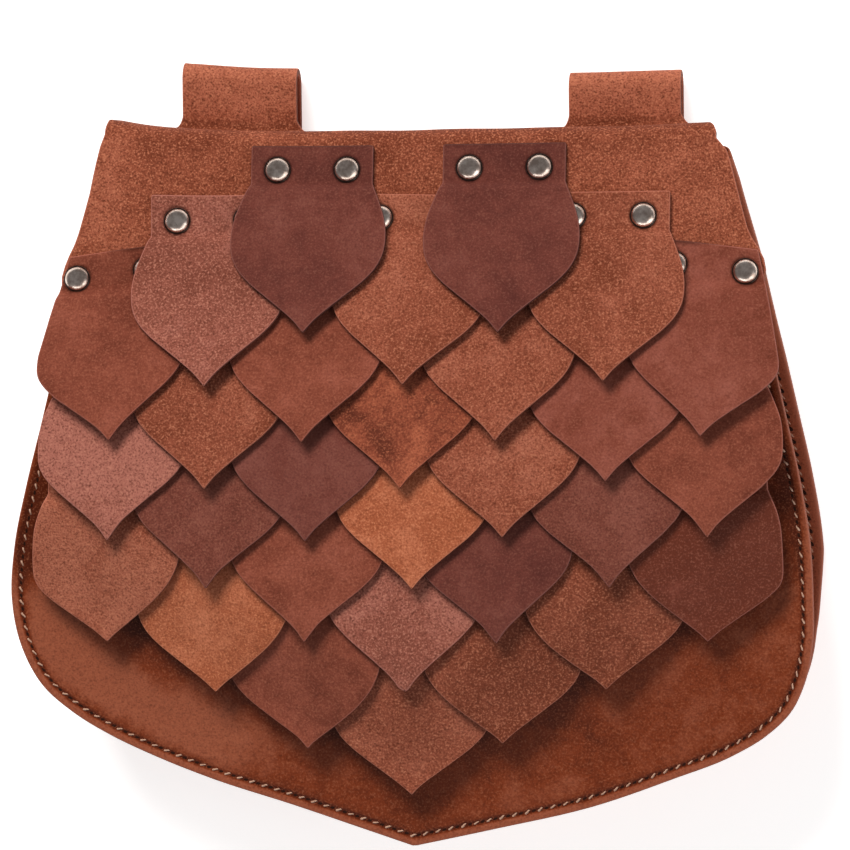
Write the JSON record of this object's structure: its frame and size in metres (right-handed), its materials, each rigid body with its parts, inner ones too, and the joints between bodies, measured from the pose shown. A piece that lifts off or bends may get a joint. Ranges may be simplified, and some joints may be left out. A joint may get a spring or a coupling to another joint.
{
  "type": "belt bag",
  "caption": "Flat-backed leather belt bag with a pointed bottom, belt loops that run on from the flap, and staggered rows of overlapping riveted leather scales.",
  "frame": {"origin": "on the flat rear face of the back panel, on the bag's centre line, halfway between the bottom point and the top of the fold", "axes": "+X across the bag, +Y up the bag towards the belt loops, +Z out of the front; the bag lies on its back on z = 0"},
  "size_m": [0.2414, 0.2346, 0.0612],
  "materials": {
    "body_leather": "smooth vegetable-tanned leather, satin, burnished edges",
    "flap_leather": "sanded nubuck, matt, fine speckled grain",
    "plum_leather": "dark plum-brown, satin",
    "wine_leather": "wine-brown, matt grain",
    "rosy_leather": "rosy brown, matt grain",
    "red_leather": "red-brown, satin",
    "russet_leather": "russet, matt grain",
    "tan_leather": "orange-brown, matt grain",
    "amber_leather": "light orange tan, matt grain",
    "mottled_leather": "orange and brown mottled, satin",
    "antique_steel": "antique nickel, domed caps with a dark rim"
  },
  "bodies": {
    "root": {"back_panel": "body_leather", "gusset": "body_leather", "front_panel": "body_leather", "flap_with_belt_loops": "flap_leather", "scale_row01_column2": "plum_leather", "scale_row01_column4": "plum_leather", "scale_row02_column1": "rosy_leather", "scale_row02_column3": "tan_leather", "scale_row02_column5": "tan_leather", "scale_row03_column0": "russet_leather", "scale_row03_column2": "russet_leather", "scale_row03_column4": "tan_leather", "scale_row03_column6": "red_leather", "scale_row04_column1": "tan_leather", "scale_row04_column3": "mottled_leather", "scale_row04_column5": "red_leather", "scale_row05_column0": "rosy_leather", "scale_row05_column2": "plum_leather", "scale_row05_column4": "tan_leather", "scale_row05_column6": "rosy_leather", "scale_row06_column1": "wine_leather", "scale_row06_column3": "amber_leather", "scale_row06_column5": "wine_leather", "scale_row07_column0": "tan_leather", "scale_row07_column2": "russet_leather", "scale_row07_column4": "plum_leather", "scale_row07_column6": "red_leather", "scale_row08_column1": "amber_leather", "scale_row08_column3": "rosy_leather", "scale_row08_column5": "tan_leather", "scale_row09_column2": "red_leather", "scale_row09_column4": "russet_leather", "scale_row10_column3": "russet_leather", "rivet_row01_column2_left": "antique_steel", "rivet_row01_column2_right": "antique_steel", "rivet_row01_column4_left": "antique_steel", "rivet_row01_column4_right": "antique_steel", "rivet_row02_column1_left": "antique_steel", "rivet_row02_column1_right": "antique_steel", "rivet_row02_column3_left": "antique_steel", "rivet_row02_column3_right": "antique_steel", "rivet_row02_column5_left": "antique_steel", "rivet_row02_column5_right": "antique_steel", "rivet_row03_column0_left": "antique_steel", "rivet_row03_column0_right": "antique_steel", "rivet_row03_column2_left": "antique_steel", "rivet_row03_column2_right": "antique_steel", "rivet_row03_column4_left": "antique_steel", "rivet_row03_column4_right": "antique_steel", "rivet_row03_column6_left": "antique_steel", "rivet_row03_column6_right": "antique_steel"}
  },
  "joints": []
}
